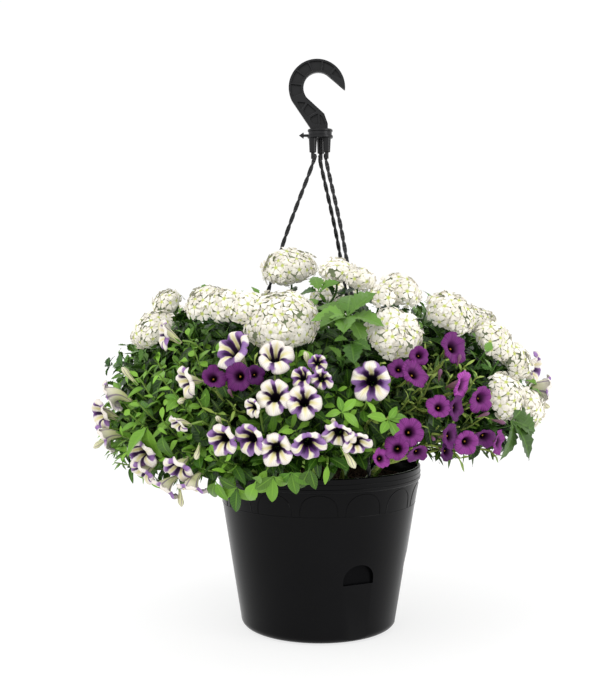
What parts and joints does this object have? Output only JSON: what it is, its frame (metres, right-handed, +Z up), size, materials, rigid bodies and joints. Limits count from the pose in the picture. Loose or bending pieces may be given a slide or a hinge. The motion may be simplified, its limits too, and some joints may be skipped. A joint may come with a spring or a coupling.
{
  "type": "hanging basket of mixed summer flowers",
  "caption": "Round tapered hanging pot filled with soil and a dome of funnel-shaped and clustered flowers on leafy stems, held by three legs under a flat hook.",
  "frame": {"origin": "centre of the pot's flat base", "axes": "+Z up through the pot and the hook, -Y towards the front of the picture, +X to its right"},
  "size_m": [0.4985, 0.5165, 0.637],
  "materials": {
    "pot_plastic": "smooth black moulded plastic with a satin sheen",
    "hanger_plastic": "black moulded plastic, slightly glossy",
    "soil": "dark moist potting compost of peat and bark, crumbly and matt",
    "verbena_petals": "white petals, soft and matt, with pale yellow-green eyes",
    "petunia_petals": "cream petals striped with violet along the seams, dark throats, velvety",
    "calibrachoa_petals": "purple petals with darker veins and small orange eyes, velvety",
    "verbena_foliage": "mid green toothed leaves, matt and slightly rough",
    "petunia_foliage": "light green oval leaves, soft and slightly downy",
    "calibrachoa_foliage": "yellowish green narrow leaves, soft"
  },
  "bodies": {
    "root": {"calibrachoa_spray_back": "calibrachoa_foliage", "calibrachoa_spray_left": "calibrachoa_foliage", "calibrachoa_spray_low_right": "calibrachoa_foliage", "calibrachoa_spray_right": "calibrachoa_foliage", "calibrachoa_upper_right": "calibrachoa_petals", "calibrachoas_back": "calibrachoa_petals", "calibrachoas_front_right": "calibrachoa_petals", "calibrachoas_left": "calibrachoa_petals", "calibrachoas_low_right": "calibrachoa_petals", "calibrachoas_right": "calibrachoa_petals", "calibrachoas_right_top": "calibrachoa_petals", "hanger_hook": "hanger_plastic", "hanger_leg_a": "hanger_plastic", "hanger_leg_b": "hanger_plastic", "hanger_leg_c": "hanger_plastic", "petunia_facing_front": "petunia_petals", "petunia_faded_top": "petunia_petals", "petunia_pale_left": "petunia_petals", "petunia_profile_left": "petunia_petals", "petunia_small_left": "petunia_petals", "petunia_spray_back": "petunia_foliage", "petunia_spray_centre": "petunia_foliage", "petunia_spray_front": "petunia_foliage", "petunia_spray_low_left": "petunia_foliage", "petunia_spray_right_side": "petunia_foliage", "petunia_spray_side_left": "petunia_foliage", "petunia_spray_upper_left": "petunia_foliage", "petunia_upper_left": "petunia_petals", "petunias_centre": "petunia_petals", "petunias_front": "petunia_petals", "petunias_low_left": "petunia_petals", "petunias_right_side": "petunia_petals", "petunias_side_back": "petunia_petals", "petunias_side_left": "petunia_petals", "petunias_trailing_left": "petunia_petals", "pot": "pot_plastic", "soil": "soil", "verbena_head_back_left": "verbena_petals", "verbena_head_back_right": "verbena_petals", "verbena_head_back_top": "verbena_petals", "verbena_head_right": "verbena_petals", "verbena_head_shoulder": "verbena_petals", "verbena_head_top": "verbena_petals", "verbena_heads_crown": "verbena_petals", "verbena_heads_far_right": "verbena_petals", "verbena_heads_front": "verbena_petals", "verbena_heads_left": "verbena_petals", "verbena_heads_low_right": "verbena_petals", "verbena_heads_upper_right": "verbena_petals", "verbena_spray_back_left": "verbena_foliage", "verbena_spray_back_right": "verbena_foliage", "verbena_spray_back_top": "verbena_foliage", "verbena_spray_front": "verbena_foliage", "verbena_spray_left": "verbena_foliage", "verbena_spray_low_right": "verbena_foliage", "verbena_spray_right": "verbena_foliage", "verbena_spray_shoulder": "verbena_foliage", "verbena_spray_top": "verbena_foliage"}
  },
  "joints": []
}
